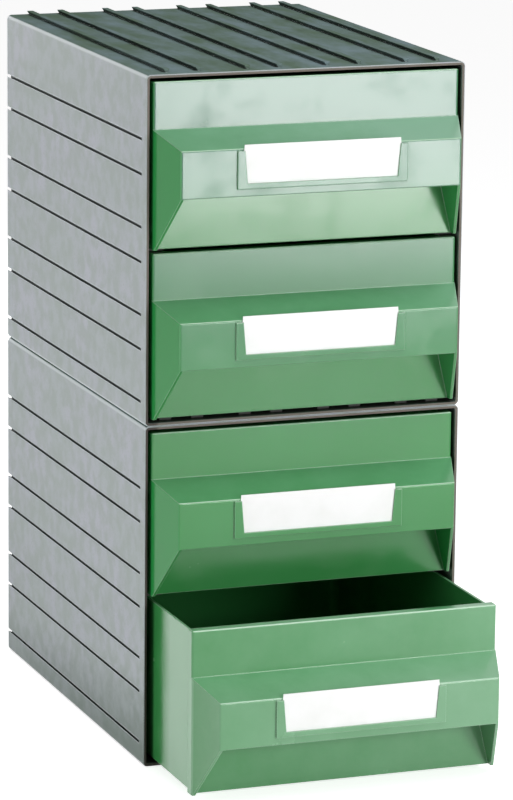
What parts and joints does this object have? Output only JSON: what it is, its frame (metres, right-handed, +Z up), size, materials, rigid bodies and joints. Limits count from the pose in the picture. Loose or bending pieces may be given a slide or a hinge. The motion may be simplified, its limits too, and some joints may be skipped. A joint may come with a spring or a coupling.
{
  "type": "classroom tray storage unit",
  "caption": "Stack of moulded housings with deep pull-out drawers, each with a hollow full-width pull and a label card in a holder.",
  "frame": {"origin": "on the floor, under the middle of the housings' footprint", "axes": "+X across the width to the right of someone facing the drawers, -Y towards that person (drawers open towards -Y), +Z up"},
  "size_m": [0.288, 0.5318, 0.5976],
  "materials": {
    "housing_plastic": "satin",
    "drawer_plastic": "gloss",
    "card": "matte"
  },
  "bodies": {
    "cabinet": {"lower_housing": "housing_plastic", "lower_rear_panel": "housing_plastic", "lower_left_runner": "housing_plastic", "lower_right_runner": "housing_plastic", "upper_housing": "housing_plastic", "upper_rear_panel": "housing_plastic", "upper_left_runner": "housing_plastic", "upper_right_runner": "housing_plastic"},
    "drawer_1": {"drawer_1_tray": "drawer_plastic", "drawer_1_front": "drawer_plastic", "label_card_1": "card"},
    "drawer_2": {"drawer_2_tray": "drawer_plastic", "drawer_2_front": "drawer_plastic", "label_card_2": "card"},
    "drawer_3": {"drawer_3_tray": "drawer_plastic", "drawer_3_front": "drawer_plastic", "label_card_3": "card"},
    "drawer_4": {"drawer_4_tray": "drawer_plastic", "drawer_4_front": "drawer_plastic", "label_card_4": "card"}
  },
  "joints": [
    {"name": "drawer_1_slide", "type": "slide", "parent": "cabinet", "child": "drawer_1", "axis": [0, -1, 0], "range_m": [0, 0.28]},
    {"name": "drawer_2_slide", "type": "slide", "parent": "cabinet", "child": "drawer_2", "axis": [0, -1, 0], "range_m": [0, 0.28]},
    {"name": "drawer_3_slide", "type": "slide", "parent": "cabinet", "child": "drawer_3", "axis": [0, -1, 0], "range_m": [0, 0.28]},
    {"name": "drawer_4_slide", "type": "slide", "parent": "cabinet", "child": "drawer_4", "axis": [0, -1, 0], "range_m": [-0.105, 0.175]}
  ]
}
